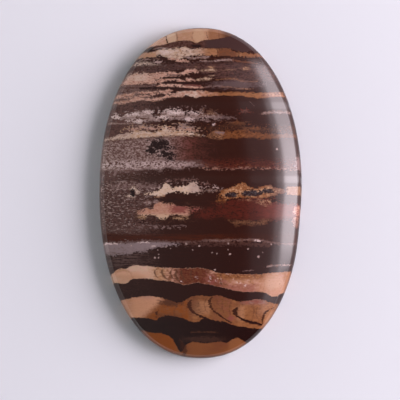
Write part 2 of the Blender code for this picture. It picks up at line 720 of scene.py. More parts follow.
def reach(start, end, fade=1.0):
    """A mask from one place across the stone to another, with faded ends."""
    return window(across_share, ACROSS_SPAN, 0.5, start, end, fade)


def rows(start, end, fade=0.4):
    """A mask from one place down the stone to another, with faded edges."""
    return window(down_share, DOWN_SPAN, 0.0, start, end, fade)


# %% The slab
class Slab:
    """The cut face of the rock. Each layer is laid over those before it."""

    def __init__(self, colour):
        self.colour = colour
        self.group = None

    def part(self, name=None):
        """Closes the node group of the layers so far and opens one for the next layers."""
        if self.group:
            self.colour = self.group.close(self.colour)
            print(f"{self.group.tree.name}: {len(self.group.tree.nodes)} nodes")
        self.group = GroupBench(rock, name) if name else None

    def lay(self, mask, colour):
        self.colour = blend(mask, self.colour, colour)

    def lay_veins(self, colour, rag, veins):
        self.lay(cover(deepest([vein(*each) for each in veins]), rag, 0.06), colour)

    def lay_cracks(self, colour, rag, cracks, strength):
        self.lay(cover(deepest([crack(*each) for each in cracks]), rag) * strength, colour)

    def lay_patches(self, colour, rag, patches):
        self.lay(cover(deepest([patch(*each) for each in patches]), rag), colour)

    def lay_crumbs(self, colour, line, thickness, rarity=0.3):
        """Loose grains just above a layer whose upper edge is this line."""
        zone = seam([(a, d - thickness) for a, d in line], [(a, d + 0.25) for a, d in line])
        self.lay(cover(zone, 0.4, 0.15) * grit.between(rarity, rarity + 0.3), colour)


# %% [markdown]
# ## The dark ground
#
# Most of the stone is dark: chocolate and maroon, greyer to the left where fine pale grains are
# sown through it, and near black in two bands. These come first, and the pale seams are laid on them.

# %% Dark ground
dark = marble(streak, "maroon", "chocolate", 0.7, 1.1)
dark = blend(down.between(32.0, 33.2), dark, marble(streak, "char", "maroon", 0.6, 0.9))
dark = blend(down.between(38, 39.5), dark, "char")
dark = blend(down.between(43.3, 44.4), dark, "ink")
slab = Slab(dark)
lay, lay_veins, lay_cracks, lay_patches = slab.lay, slab.lay_veins, slab.lay_cracks, slab.lay_patches
grey_side = (across + fray * 1.5).between(-12.5, -5.0, 1.0, 0.0)
grey_grains = marble(grit, "haze", "bark", 0.15, 0.6)
pale_pink = blend(threads * 0.5, gritty(marble(mottle, "blush", "salmon", 0.3, 0.6), "umber", 0.2), "bark")
lay(grey_side * rows(6, 32.2, 2.0), marble(grit, "dusk", "plum", 0.1, 0.7))
lay(grey_side * rows(9.3, 11.2, 1.0) * 0.35, grey_grains)
lay(rows(10.9, 14.4, 0.8) * across.between(-9, -3, 0.0, 0.6), "maroon")
print(f"dark ground laid, {len(rock.tree.nodes)} nodes in the rock so far")

# %% [markdown]
# ## The crown: tan seams between plum layers
#
# The layers are laid from the top tip downwards. A seam is drawn by its two edges, with only the
# points that its course needs, and noise then frays it. Where silica healed a crack, a thin dark
# line crosses a pale seam.

# %% Crown
slab.part("crown")
CROWN_TOP = [(-14, -1.0), (14, -1.0)]
CROWN_FOOT = [
    (-14, 3.3), (-7.2, 2.95), (-5.2, 2.6), (-4.4, 2.35), (-2.8, 2.1), (-1.5, 2.15), (-0.6, 2.45),
    (0.1, 2.15), (2, 1.9), (3.4, 1.65), (4.6, 1.3), (6, 0.8), (14, 0.5),
]
crown = cover(seam(CROWN_TOP, CROWN_FOOT), 0.1)
lay(crown, marble(mottle, "tan", "salmon", 0.4, 1.0))
lay(crown * cover(patch(-4.4, 1.75, 0.75, 0.9), 0.15, 0.2) * 0.8, "cream")
lay(crown * cover(patch(-0.3, 1.3, 0.9, 1.2), 0.15, 0.25) * 0.8, "sand")
lay(crown * 0.25, "cream")
lay(crown * across.between(0.9, 1.4) * 0.65, "ochre")
lay(crown * across.between(2.5, 4.2), "bark")
lay(crown * across.between(-4.9, -5.5) * 0.7, marble(mottle, "blush", "sand", 0.3, 0.6))
lay(cover(crack([(-5.1, 1.0), (-5.15, 1.9), (-4.85, 2.6)], 0.16), 0.1), "chocolate")
lay_cracks("bark", 0.12, [
    ([(-1.1, 0.7), (-1.3, 1.5), (-0.8, 2.3)], 0.12), ([(0.9, 0.6), (0.95, 1.3), (1.4, 2.2)], 0.12),
    ([(-3.6, 0.8), (-3.5, 2.3)], 0.12), ([(2.7, 0.8), (2.8, 1.9)], 0.12),
], 0.55)
lay(crown * grit.between(0.5, 1.2) * 0.25, "sienna")

# %% Plum layer
PLUM_FOOT = [
    (-14, 3.85), (-9, 3.8), (-8, 3.6), (-7.3, 3.3), (-4.5, 3.35), (-2.6, 3.05), (-1.4, 3.3), (0, 3.15),
    (2.2, 3.3), (4.2, 3.25), (5.6, 3.7), (8.4, 3.6), (14, 3.6),
]
plum = cover(seam(CROWN_FOOT, PLUM_FOOT), 0.12)
lay(plum, marble(grit, "chocolate", "dusk", 0.1, 0.8))
lay(plum * across.between(0.2, 1.2) * 0.95, "plum")
lay_patches("ink", 0.15, [(-7.6, 3.35, 0.9, 0.24), (-0.6, 2.9, 0.8, 0.22)])
lay_veins(grey_grains, 0.15, [([(-7.2, 3.35), (-6.2, 3.2), (-4.9, 3.2)], 0.2)])
print("plum layer between the crown and the first seam")

# %% First tan seam
slab.part("first_seam")
FIRST_TOP = [
    (-14, 3.95), (-8, 3.8), (-7, 3.75), (-6.4, 3.45), (-5.2, 3.3), (-4.4, 3.3), (-3.4, 3.1), (-2.6, 3.05),
    (-1.4, 3.35), (0, 3.25), (2.2, 3.35), (4.2, 3.35), (5.6, 3.8), (14, 3.65),
]
FIRST_FOOT = [
    (-14, 4.6), (-7.2, 4.55), (-6.0, 4.3), (-5.4, 4.6), (-4.2, 4.75), (-3.3, 4.95), (-2.5, 4.6),
    (-1.6, 4.4), (-0.5, 4.3), (2.2, 4.4), (4.5, 4.4), (6.5, 4.5), (14, 4.5),
]
first = cover(seam(FIRST_TOP, FIRST_FOOT), 0.25)
first_left = marble(mottle, "shell", "sand", 0.3, 0.7)
lay(first, blend(across.between(-1.2, 1.4), first_left, marble(mottle, "tan", "amber", 0.3, 0.8)))
lay(first * reach(-14, -6.6, 0.4), marble(mottle, "sand", "salmon", 0.2, 0.7))
lay(first * reach(2.6, 5.5, 0.4) * 0.9, marble(mottle, "sienna", "umber", 0.2, 0.7))
lay(first * reach(-6.0, -0.9, 0.5) * grit.between(0.4, 0.8), "umber")
lay(first * reach(-6.4, 2.0, 0.5) * threads * 0.55, "bark")
lay(first * cover(patch(-5.2, 3.8, 1.0, 0.4), 0.4, 0.2) * 0.5, "frost")
lay(first * reach(6.1, 14, 0.4) * 0.8, marble(mottle, "ochre", "bark", 0.3, 0.7))
lay(cover(crack([(2.35, 3.2), (2.6, 3.9), (2.45, 4.5)], 0.14), 0.12) * 0.7, "chocolate")
lay(cover(crack([(5.75, 3.5), (5.8, 4.7)], 0.35), 0.2) * 0.7, "bark")
lay_veins(pale_pink, 0.3, [([(-4.8, 4.8), (-3.4, 5.05), (-2.4, 5.2), (-1.5, 5.3)], 0.4)])

# %% Streaks under the first seam
slab.part("streaks")
lay(rows(4.4, 6.4, 0.5) * (streak + grit * 0.5).between(0.3, 1.1) * 0.5, "dusk")
lay_veins(grey_grains, 0.25, [
    ([(-2.6, 4.5), (-1, 4.75), (0, 4.65), (1.1, 4.75)], 0.28), ([(0.0, 4.5), (1.4, 4.55)], 0.2),
    ([(-0.4, 5.1), (2.1, 5.2), (3, 5.05), (5.3, 5.1)], 0.26), ([(-9, 4.9), (-6, 4.85)], 0.14),
])
lay_veins(marble(grit, "sienna", "umber", 0.1, 0.6), 0.2, [([(4.6, 5.05), (6.5, 5.3), (8.8, 5.5)], 0.28)])
PINK_FLECK_TOP = [(-14, 5.6), (-9.3, 5.3), (-8.5, 5.25), (-7, 5.5), (-5.4, 5.9)]
PINK_FLECK_FOOT = [(-14, 6.0), (-8.6, 5.95), (-7.2, 5.9), (-5.4, 6.05)]
lay(cover(seam(PINK_FLECK_TOP, PINK_FLECK_FOOT), 0.45), marble(grit, "shell", "smoke", 0.2, 0.6))
lay_patches("haze", 0.3, [(-6.4, 5.3, 0.5, 0.2)])
SIXTH_TOP = [(-15, 6.0), (-6, 5.7), (0, 5.45), (9, 5.6), (15, 5.6)]
SIXTH_FOOT = [(-15, 7.4), (-6, 6.9), (-2, 6.5), (2, 7.8), (15, 7.8)]
sixth = cover(seam(SIXTH_TOP, SIXTH_FOOT), 0.4, 0.2)
lay(sixth * 0.9, marble(grit, "dusk", "plum", 0.0, 0.6))
lay(sixth * threads * 0.8, "char")
lay(sixth * grit.between(0.5, 0.9) * across.between(-3, 1, 0.7, 0.25), "mauve")
lay_patches(marble(grit, "sand", "dusk", 0.1, 0.5), 0.3, [
    (-0.7, 6.0, 0.3, 0.15), (1.6, 6.1, 0.5, 0.2), (6.8, 6.3, 0.6, 0.25), (4.2, 6.5, 0.5, 0.1),
])

# %% [markdown]
# ## Pink strands
#
# Below the crown the silica came in threads: a pink cloud on the left splits into thin strands that
# run right and thin out, with dark threads between them.

# %% Pink cloud and its strands
slab.part("pink_strands")
PINK_TOP = [
    (-15, 7.9), (-11.2, 7.9), (-10.7, 7.25), (-9, 7.05), (-7, 7.0), (-5.5, 6.9), (-4, 6.75), (-3, 7.0),
    (-2.4, 6.65), (-1.8, 6.4), (-0.9, 6.5), (-0.2, 6.8),
]
PINK_FOOT = [
    (-15, 8.4), (-11, 8.7), (-9, 8.6), (-7.5, 8.4), (-6, 7.8), (-5, 7.55), (-3, 7.35), (-1, 7.05),
    (-0.2, 6.9),
]
lay(cover(seam(PINK_TOP, PINK_FOOT), 0.4), pale_pink)
lay(cover(patch(-9.3, 7.6, 1.7, 0.6), 0.5, 0.3) * 0.8, marble(grit, "shell", "salmon", 0.4, 0.6))
lay_veins(pale_pink, 0.3, [
    ([(-13, 8.7), (-10, 8.5), (-7.5, 8.35), (-6, 8.2), (-4.6, 7.95), (-3.6, 8.0), (-2.4, 8.25)], 0.45),
    ([(-2.6, 7.85), (-1.6, 7.95), (-0.8, 8.15)], 0.45),
    ([(-6.7, 9.0), (-5, 8.85), (-3.5, 8.85), (-2, 9.05), (-0.5, 9.2), (0.6, 9.15)], 0.42),
])
lay_veins("blush", 0.3, [
    ([(-6.0, 8.85), (-4.4, 8.8), (-3.4, 8.85), (-2.4, 9.0)], 0.42), ([(-2.1, 7.8), (-1.2, 7.95)], 0.3),
])
lay_veins(marble(grit, "mauve", "umber", 0.1, 0.5), 0.25, [
    ([(-12.5, 8.95), (-9.5, 8.9), (-8, 8.95), (-6.6, 8.8)], 0.26), ([(-12, 9.5), (-9, 9.4)], 0.16),
    ([(-5.2, 7.25), (-4, 7.3), (-2.8, 7.2)], 0.16), ([(0.4, 9.1), (2, 9.0), (3.4, 9.05)], 0.26),
])
lay_veins(marble(grit, "cream", "umber", 0.1, 0.5), 0.35, [
    ([(-0.4, 6.75), (0.9, 6.6), (2.3, 6.55)], 0.42), ([(-0.7, 8.05), (0.6, 7.9), (1.9, 7.85)], 0.45),
    ([(1.0, 7.5), (2.2, 7.35)], 0.18),
])
lay_veins(marble(grit, "tan", "bark", 0.0, 0.5), 0.2, [
    ([(2.0, 8.1), (3.4, 7.9), (5.2, 7.9), (6.2, 8.2), (8.8, 8.15)], 0.2),
    ([(2.8, 9.1), (4.2, 9.1), (5.6, 9.3), (8, 9.4)], 0.18),
])
lay_veins(marble(grit, "rose", "dusk", 0.1, 0.6), 0.15, [([(-2.6, 8.75), (-1.2, 8.85), (0.2, 8.95)], 0.24)])
lay_veins("char", 0.2, [
    ([(-5.8, 7.7), (-4, 7.72), (-2.3, 7.6), (-0.6, 7.3), (2.0, 7.1)], 0.16),
    ([(-5.8, 8.45), (-3.5, 8.5), (-1.5, 8.55), (1.5, 8.4)], 0.24),
    ([(-9.5, 9.3), (-6, 9.2), (-3, 9.4), (0, 9.5), (3.6, 9.4)], 0.22),
])

# %% The split strand and the bright seam
slab.part("bright_seam")
# Painted reflection: a grey patch where a second, smaller lamp shows in the polish.
lay(cover(patch(5.3, 8.7, 3.4, 0.6), 0.3, 0.35) * 0.35, "ash")
LOW_STRAND = [
    (-15, 11.3), (-11.3, 11.3), (-10, 10.95), (-8, 10.9), (-6.5, 10.95), (-5, 10.5), (-3.6, 10.4),
    (-2, 10.3),
]
lay_veins(pale_pink, 0.28, [
    ([(-14, 10.55), (-11, 10.3), (-9.5, 9.95), (-8, 9.9), (-6.6, 9.85), (-5.4, 9.7), (-4.1, 9.6)], 0.36),
    (LOW_STRAND, 0.42), ([(-7.6, 10.15), (-6, 9.95), (-4.4, 10.1), (-2.6, 9.95)], 0.3),
    ([(-14, 10.8), (-12, 10.7), (-9.5, 10.5), (-7.5, 10.4)], 0.16),
])
BRIGHT_TOP = [
    (-3.4, 9.8), (-2, 9.7), (0, 9.65), (1, 9.75), (2, 9.9), (5, 9.87), (8, 9.95), (12, 9.8), (18, 9.8),
]
BRIGHT_FOOT = [
    (-3.4, 10.35), (-2, 10.45), (-0.6, 10.7), (0.4, 10.45), (2, 10.45), (4, 10.4), (6, 10.42), (8.2, 10.7),
    (12, 10.55), (18, 10.5),
]
bright = cover(seam(BRIGHT_TOP, BRIGHT_FOOT), 0.18)
bright_colour = blend(
    across.between(-0.5, 1.0),
    marble(mottle, "shell", "salmon", 0.0, 0.7),
    marble(mottle, "salmon", "tan", 0.0, 0.5),
)
bright_colour = blend(across.between(1.4, 3.4), bright_colour, marble(mottle, "amber", "sienna", 0.4, 0.6))
lay(bright, blend(across.between(8.8, 10.5), bright_colour, marble(grit, "tan", "sienna", 0.0, 0.6)))
lay(bright * grit.between(0.45, 0.9) * 0.7, "bark")
# Painted reflection: a short grey diagonal streak where something bright shows in the polish.
lay_veins("smoke", 0.1, [([(7.2, 11.2), (7.6, 11.5), (8.1, 11.9)], 0.12)])
lay(cover(vein([(-9, 12.2), (-3, 12.15), (1, 12.2)], 0.14), 0.3) * grit.between(0.1, 0.6) * 0.6, "mauve")

# %% [markdown]
# ## The ragged cloud and the ochre seam
#
# A torn cloud of pale silica comes next, bright where it is thick. Below it a seam runs the whole
# width, cream on the left and stained by iron to the right, with loose crumbs of it above.

# %% Ragged cloud
slab.part("ragged_cloud")
CLOUD_TOP = [
    (-15, 13.9), (-11.4, 13.5), (-10.5, 13.0), (-9, 12.7), (-7.6, 12.55), (-7.2, 13.5), (-6.3, 13.5),
    (-5.8, 12.85), (-4, 12.6), (-2.8, 12.5), (-2.4, 13.1), (-1.6, 12.9), (-0.5, 12.85), (0.2, 12.6),
    (0.8, 12.95), (2.3, 12.8), (3, 13.3), (5, 13.6),
]
CLOUD_FOOT = [
    (-15, 14.0), (-12, 14.0), (-9.8, 14.3), (-8.5, 14.2), (-7, 14.3), (-5.5, 13.95), (-3, 14.0),
    (-1.2, 14.1), (0.5, 13.9), (3, 13.95), (5, 13.7),
]
cloud_mask = cover(seam(CLOUD_TOP, CLOUD_FOOT), 0.6, 0.1)
lay(cloud_mask, marble(grit + mottle * 0.5, "haze", "smoke", 0.4, 0.6))
lay(cloud_mask * across.between(0.8, 3.6) * 0.9, marble(grit, "mauve", "plum", 0.0, 0.5))
lay(cloud_mask * threads * 0.55, "umber")
lay_patches(marble(grit, "frost", "haze", 0.2, 0.6), 0.5, [
    (-12.5, 13.55, 0.8, 0.35), (-8.0, 12.9, 0.7, 0.3), (-9.2, 14.2, 0.6, 0.35), (-4.2, 12.95, 1.5, 0.4),
    (-10.2, 13.2, 0.9, 0.3), (-1.0, 13.0, 0.8, 0.2), (-5.6, 13.6, 0.8, 0.25), (-10.3, 14.1, 0.7, 0.15),
])
lay_patches(marble(grit, "sand", "umber", -0.2, 0.4), 0.6, [(1.4, 13.0, 1.1, 0.3)])
lay_veins("umber", 0.3, [
    ([(-9.8, 13.7), (-8.2, 13.85)], 0.2), ([(-6.5, 13.35), (-4.9, 13.15)], 0.16),
    ([(-4.4, 13.5), (-2.5, 13.4)], 0.14), ([(-1.4, 13.55), (0.6, 13.45)], 0.14),
])
lay_patches("mist", 0.25, [(-1.85, 13.95, 0.6, 0.28), (1.95, 14.75, 0.26, 0.22)])
lay_patches("mauve", 0.2, [(1.2, 14.25, 0.5, 0.12)])
lay(cover(crack([(-2.2, 12.9), (-2.35, 13.5), (-2.6, 13.9)], 0.18), 0.15), "maroon")
lay_patches(marble(grit, "dusk", "brick", 0.2, 0.6), 0.4, [(6.5, 12.75, 0.6, 0.25)])
lay_veins(marble(grit, "haze", "umber", 0.1, 0.6), 0.3, [
    ([(9.0, 13.15), (10, 12.95), (11.5, 12.85), (14.4, 12.9)], 0.3),
])
lay_veins(grey_grains, 0.25, [([(-15, 14.6), (-12, 14.55), (-10, 14.6)], 0.22)])

# %% Ochre seam
slab.part("ochre_seam")
OCHRE_TOP = [
    (-18, 17.0), (-13.8, 16.8), (-13, 16.45), (-11.5, 16.15), (-10.3, 15.8), (-8, 15.75), (-6, 15.65),
    (-5.7, 15.2), (-5.2, 14.9), (-4.8, 15.6), (-3.5, 15.6), (-2, 15.75), (-1, 15.95), (0, 16.15),
    (0.9, 16.3),
]
OCHRE_FOOT = [
    (-18, 17.5), (-13.8, 17.25), (-12, 16.95), (-10, 16.85), (-8, 16.7), (-5, 16.5), (-2, 16.45),
    (0.9, 16.5),
]
lay_patches(grey_grains, 0.6, [(-8.3, 15.2, 1.8, 0.35), (-2.6, 15.1, 1.6, 0.5)])
lay(cover(vein([(-11, 15.5), (-6, 15.3), (0, 15.7)], 0.4), 0.5) * 0.7, pale_pink)
slab.lay_crumbs(marble(mottle, "haze", "sand", 0.0, 0.5), OCHRE_TOP[3:], 0.9)
ochre = cover(seam(OCHRE_TOP, OCHRE_FOOT), 0.4)
lay(ochre, marble(mottle, "shell", "sand", 0.1, 0.8))
lay(ochre * across.between(-11.5, -9.5, 0.7, 0.0), marble(grit, "shell", "mauve", 0.2, 0.7))
lay(ochre * grit.between(0.3, 0.8) * across.between(-8, -1, 0.2, 1.0), "umber")
lay(ochre * across.between(-1.8, 0.2) * grit.between(-0.4, 0.3), "bark")
lay(ochre * threads * across.between(-6, -3) * 0.6, "bark")
RUSTY_TOP = [(0.8, 16.1), (2.5, 15.7), (5, 15.7), (7, 15.6), (8, 15.9), (11, 16.1), (18, 16.2)]
RUSTY_FOOT = [(0.8, 16.6), (2.2, 16.95), (5, 16.8), (8, 16.75), (9.5, 16.9), (11, 16.8), (18, 16.6)]
CRUMB_TOP = [
    (1.0, 15.1), (3, 14.8), (4.6, 14.4), (5.8, 14.4), (6.6, 14.9), (8.5, 15.2), (10, 15.0), (18, 14.5),
]
lay(cover(seam(CRUMB_TOP, RUSTY_TOP), 0.6, 0.12) * 0.9, marble(grit, "bark", "char", -0.1, 0.5))
slab.lay_crumbs(marble(mottle, "amber", "sienna", -0.1, 0.5), RUSTY_TOP, 1.1, 0.4)
rusty = cover(seam(RUSTY_TOP, RUSTY_FOOT), 0.3)
lay(rusty, marble(mottle, "ochre", "russet", 0.0, 0.6))
lay(rusty * (-grit).between(0.3, 0.8) * across.between(3, 6, 0.3, 0.9), "amber")
lay(rusty * reach(0.5, 3.4, 0.4), marble(grit, "tan", "bark", -0.1, 0.5))
lay(rusty * grit.between(0.25, 0.65) * 0.9, "chocolate")
lay(rusty * across.between(8.5, 11) * 0.5, "bark")
lay_patches("mauve", 0.3, [(3.0, 16.0, 0.5, 0.18), (5.2, 14.4, 0.5, 0.12)])
lay_patches(marble(grit, "ochre", "bark", 0.0, 0.5), 0.4, [(5.6, 14.5, 0.9, 0.25), (8, 15.3, 1.3, 0.2)])

# %% [markdown]
# ## The broad middle
#
# The broadest band is chocolate to the right. To the left it is sown with grey and rose grains that
# crowd along its lower edge, and manganese drew a black, mossy blotch in it.

# %% Broad band
slab.part("broad_band")
MIDDLE_TOP = [(-18, 17.3), (-13, 17.2), (-8, 16.75), (0, 16.5), (2, 16.9), (9, 16.85), (18, 16.8)]
MIDDLE_FOOT = [
    (-18, 20.9), (-13, 21.6), (-9, 21.45), (-7, 21.4), (-6.2, 21.7), (-5, 21.2), (-3, 21.5), (-1.8, 21.2),
    (0.5, 21.1), (2, 21.4), (5, 21.5), (8, 21.35), (11, 21.5), (18, 21.6),
]
middle = cover(seam(MIDDLE_TOP, MIDDLE_FOOT), 0.4)
grains = blend(
    across.between(-6, -1),
    marble(grit, "haze", "dusk", -0.1, 0.6),
    marble(grit, "rose", "bark", 0.1, 0.6),
)
lay(middle * (across + fray * 0.8 + cloud * 1.5).between(-7.5, 3.0, 0.95, 0.0), grains)
CROWD_TOP = [(-18, 20.2), (-6, 20.1), (0, 20.3), (3, 21)]
crowding = cover(seam(CROWD_TOP, MIDDLE_FOOT[:9] + [(3, 21.4)]), 0.5, 0.25)
lay(crowding * across.between(-6.5, 2.5, 0.85, 0.3), marble(grit, "mist", "dusk", 0.0, 0.5))
slab.lay_crumbs("haze", [(-18, 21.9), (-9, 22.2), (-6, 21.9), (-4, 22)], 0.7, 0.4)
rosy = (down + fray * 0.3).between(19.2, 20.9) * across.between(-0.5, 1.0)
lay(middle * rosy * 0.8, marble(grit, "brick", "maroon", 0.2, 0.8))
lay(middle * rosy * flecks.between(0.1, 0.7) * down.between(19.9, 21.0, 0.2, 0.75), "sienna")
lay(middle * rosy * (-grit).between(0.4, 0.9) * down.between(20.2, 21.0, 0.1, 0.45), "rose")
rim = cover(vein([(0, 21.25), (2, 21.35), (5, 21.35), (8, 21.25), (12, 21.4), (16, 21.6)], 0.12), 0.35)
lay(rim * grit.between(-0.2, 0.4) * 0.6, marble(mottle, "mauve", "salmon", 0.0, 0.6))

# %% Mossy blotch
LOBES = [
    (-6.1, 17.75, 1.6, 0.8), (-7.3, 18.6, 0.8, 0.65), (-5.2, 19.1, 1.2, 0.55), (-4.5, 19.6, 0.7, 0.4),
    (-4.3, 18.25, 0.5, 0.25),
]
blotch = deepest([patch(*lobe) for lobe in LOBES])
lay(cover(blotch, 0.55, 0.1), gritty("ink", "smoke", 0.2))
print(f"{len(LOBES)} lobes in the blotch")
lay_patches("haze", 0.08, [(11.45, 18.4, 0.14, 0.16)])
lay_patches("mauve", 0.3, [(14.9, 20.6, 0.6, 1.2)])

# %% Dark band below it
slab.part("dark_band")
lay_patches("mauve", 0.25, [(-10.8, 21.8, 0.3, 0.14), (-12.9, 22.2, 0.2, 0.25), (-1.7, 21.35, 0.13, 0.16)])
lay_patches("haze", 0.15, [(-11.6, 23.25, 0.5, 0.09)])
lay(rows(22.1, 23.2, 0.4) * across.between(-13.5, -11.5) * 0.75, "chocolate")
lay(rows(21.6, 23.6, 0.5) * across.between(-11, -7) * 0.65, "maroon")
lay(rows(23.2, 31.5, 0.5) * grey_side * 0.3, "chocolate")
fleck_rows = down.between(21.4, 22.2) * down.between(32.0, 31.4)
fleck_side = grey_side * fleck_rows * mottle.between(-0.6, 0.4, 0.75, 1.1)
FLECK_ROWS = (
    (21.9, 23.3, 0.8, 0.5), (23.35, 24.9, 0.05, 1.0), (24.9, 26.6, 0.2, 0.85), (26.6, 28.3, 0.2, 0.7),
    (28.3, 30.4, 0.3, 0.6), (30.2, 31.4, 0.5, 0.35),
)
for start, end, rare, strength in FLECK_ROWS:
    lay(rows(start, end, 0.5) * fleck_side * flecks.between(rare, rare + 0.4) * strength, "haze")
lay(cover(vein([(-14, 24), (-8, 24.1), (-5.5, 24.1)], 0.5), 0.6) * 0.6, "mauve")
lay_patches(marble(grit, "shell", "umber", 0.3, 0.6), 0.35, [
    (-10.1, 24.3, 0.55, 0.3), (-9.5, 24.8, 0.35, 0.35), (-10.4, 25.45, 0.5, 0.25),
])
lay_patches("ink", 0.35, [(-10.2, 24.95, 0.35, 0.5)])

# %% [markdown]
# ## The flags: cream, orange and salmon patches
#
# Three patches stand out on the dark middle: a cream one, an orange one with slate cores, and a
# salmon one with a rose heart. They are seams that pinch out at both ends.

# %% Cream patch
slab.part("cream_patch")
CREAM_TOP = [
    (-7.9, 25.1), (-6.8, 24.8), (-6.1, 24.5), (-5.7, 23.9), (-5.2, 23.5), (-4.6, 23.9), (-4.2, 24.3),
    (-3.8, 24.1), (-2.5, 23.9), (-1.8, 23.75), (-1.4, 23.4), (-0.7, 23.4), (-0.3, 24.0), (0.2, 24.55),
    (1.3, 24.5), (2.6, 24.6),
]
CREAM_FOOT = [
    (-7.9, 25.15), (-7.2, 25.4), (-5.9, 25.5), (-5.2, 25.25), (-4.7, 24.95), (-4, 24.85), (-2, 24.98),
    (-0.8, 24.95), (0.2, 24.85), (2.6, 24.7),
]
slab.lay_crumbs("haze", CREAM_TOP, 0.5, 0.2)
cream = cover(seam(CREAM_TOP, CREAM_FOOT), 0.35)
lay(cream, marble(mottle, "shell", "cream", 0.1, 0.9))
lay(cream * grit.between(0.3, 0.7) * down.between(23.8, 24.6, 0.9, 0.1), "umber")
lay(cream * across.between(-2.2, -1.2) * 0.6, "haze")
lay(cream * across.between(-0.6, 0.3), marble(grit, "haze", "umber", 0.0, 0.5))
lay(cover(vein([(-7.2, 25.4), (-5.9, 25.55), (-5, 25.2)], 0.18), 0.2) * 0.7, "ochre")
lay_patches(marble(grit, "haze", "dusk", 0.0, 0.5), 0.4, [
    (-2.4, 23.05, 0.9, 0.18), (0.7, 23.6, 0.4, 0.2), (-4.9, 23.2, 0.6, 0.2),
])
lay_patches("char", 0.35, [(-4.6, 26.2, 3.0, 0.25)])

# %% Orange patch with slate cores
slab.part("orange_patch")
FLAG_TOP = [
    (2.7, 24.9), (3.5, 24.55), (4.3, 24.3), (5.1, 23.95), (5.8, 23.6), (6.5, 23.5), (7.1, 23.9),
    (8.2, 24.4), (9, 24.15), (10.6, 23.95), (11.6, 24.3), (12.6, 24.5),
]
FLAG_FOOT = [
    (2.7, 26.4), (3.5, 26.5), (4, 26.0), (5.5, 25.75), (9, 25.8), (10, 25.7), (11.2, 25.3), (12.6, 24.9),
]
flag = cover(seam(FLAG_TOP, FLAG_FOOT), 0.3)
lay(flag, marble(grit, "amber", "ochre", 0.0, 0.6))
lay(flag * (-grit).between(-0.1, 0.6) * down.between(25.2, 24.6, 0.5, 1.0), "sand")
lay(flag * grit.between(0.45, 0.9) * 0.8, "bark")
lay(flag * (across + fray).between(9.5, 11) * 0.5, "smoke")
lay_patches(marble(grit, "ochre", "maroon", 0.2, 0.5), 0.45, [(3.3, 26.2, 0.6, 0.9)])
lay_patches(marble(grit, "slate", "char", -0.2, 0.7), 0.2, [
    (4.6, 25.25, 1.0, 0.42), (7.6, 25.05, 1.6, 0.48), (9.9, 24.7, 1.1, 0.32),
])

# %% Red ground and its fringe
RED_TOP = [(2.2, 26.6), (3.5, 26.4), (5, 26.0), (9, 26.0), (11, 26.4), (18, 27)]
RED_FOOT = [(2.2, 27.6), (4, 28.9), (6, 29.2), (9, 29.4), (11, 29.2), (18, 28.8)]
red = cover(seam(RED_TOP, RED_FOOT), 0.4, 0.25)
lay(red, marble(mottle, "brick", "maroon", 0.3, 1.0))
lay(red * (streak + grit * 0.5).between(0.3, 1.2) * 0.5, "rust")
lay(red * flecks.between(0.0, 0.8) * across.between(9, 6) * 0.35, "char")
lay(red * across.between(8, 10.5) * 0.35, "rose")
lay(red * grit.between(0.4, 0.9) * across.between(6, 4, 0.15, 0.8), "bark")
lay_patches(marble(grit, "sand", "brick", -0.1, 0.6), 0.6, [(9.7, 26.35, 1.3, 0.5), (7.2, 26.0, 1.0, 0.15)])
FRINGE = [(4.2, 29.0), (5, 29.45), (6.5, 29.4), (8, 29.45), (9.3, 29.4), (10.6, 29.1)]
lay(cover(vein(FRINGE, 0.7), 0.5), marble(grit, "tan", "rust", 0.1, 0.7))
edge_block = seam([(9, 24.0), (13, 24.05), (18, 23.9)], [(9, 25.25), (13, 25.25), (18, 25.5)])
block_start = (across + grit * 0.15).between(12.9, 13.15)
lay(cover(edge_block, 0.1) * block_start * 0.6, marble(mottle, "tan", "sand", 0.3, 0.7))
lay_patches(marble(mottle, "salmon", "rose", 0.2, 0.6), 0.3, [
    (14.8, 27.7, 0.8, 0.8), (14.4, 29.4, 0.6, 0.8),
])

# %% Salmon patch
slab.part("salmon_patch")
SALMON_TOP = [
    (-9.3, 27.7), (-8, 27.3), (-7.1, 27.25), (-6.9, 26.65), (-5, 26.55), (-4.2, 26.5), (-3.6, 26.85),
    (-2, 27.0), (-0.4, 27.1), (0.4, 27.3),
]
SALMON_FOOT = [
    (-9.3, 28.5), (-8.2, 28.7), (-7.8, 28.3), (-6.5, 28.6), (-6, 28.95), (-5.2, 28.95), (-4.8, 28.5),
    (-3, 28.35), (-2, 28.5), (-1.2, 28.0), (0.4, 27.6),
]
salmon = cover(seam(SALMON_TOP, SALMON_FOOT), 0.35)
lay(salmon, marble(mottle, "salmon", "tan", 0.6, 0.8))
lay(salmon * (-grit).between(0.3, 0.9) * 0.4, "blush")
lay(salmon * threads * 0.45, "rose")
lay(salmon * cover(patch(-3.2, 27.35, 1.5, 0.7), 0.3, 0.3), "rose")
lay(salmon * (across + fray * 0.5).between(-2.4, -1.2) * 0.95, marble(grit, "rose", "maroon", -0.1, 0.6))
lay(salmon * down.between(27.9, 28.5) * across.between(-1, -4) * 0.8, gritty("cream", "umber", 0.2))
lay_patches(marble(grit, "sand", "chocolate", 0.0, 0.5), 0.45, [
    (-3.0, 28.8, 1.2, 0.4), (-8.8, 28.6, 0.8, 0.3),
])
lay_patches(marble(grit, "haze", "dusk", 0.1, 0.5), 0.4, [
    (-8.0, 26.5, 0.6, 0.28), (-6.8, 26.35, 0.35, 0.25),
])
lay(cover(patch(1.0, 28.1, 2.0, 0.9), 0.6, 0.3) * 0.9, marble(grit, "brick", "maroon", 0.2, 0.5))
lay(rows(28.8, 31.0, 0.8) * across.between(-7, -4) * 0.6, "maroon")
lay(
    cover(vein([(-9.5, 29.9), (-5, 29.95), (-2.5, 29.9)], 0.16), 0.6) * grit.between(-0.2, 0.4) * 0.8,
    "mauve",
)
lay(cover(vein([(-13.5, 30.5), (-10, 30.5), (-8.5, 30.4)], 0.2), 0.25) * 0.5, "smoke")
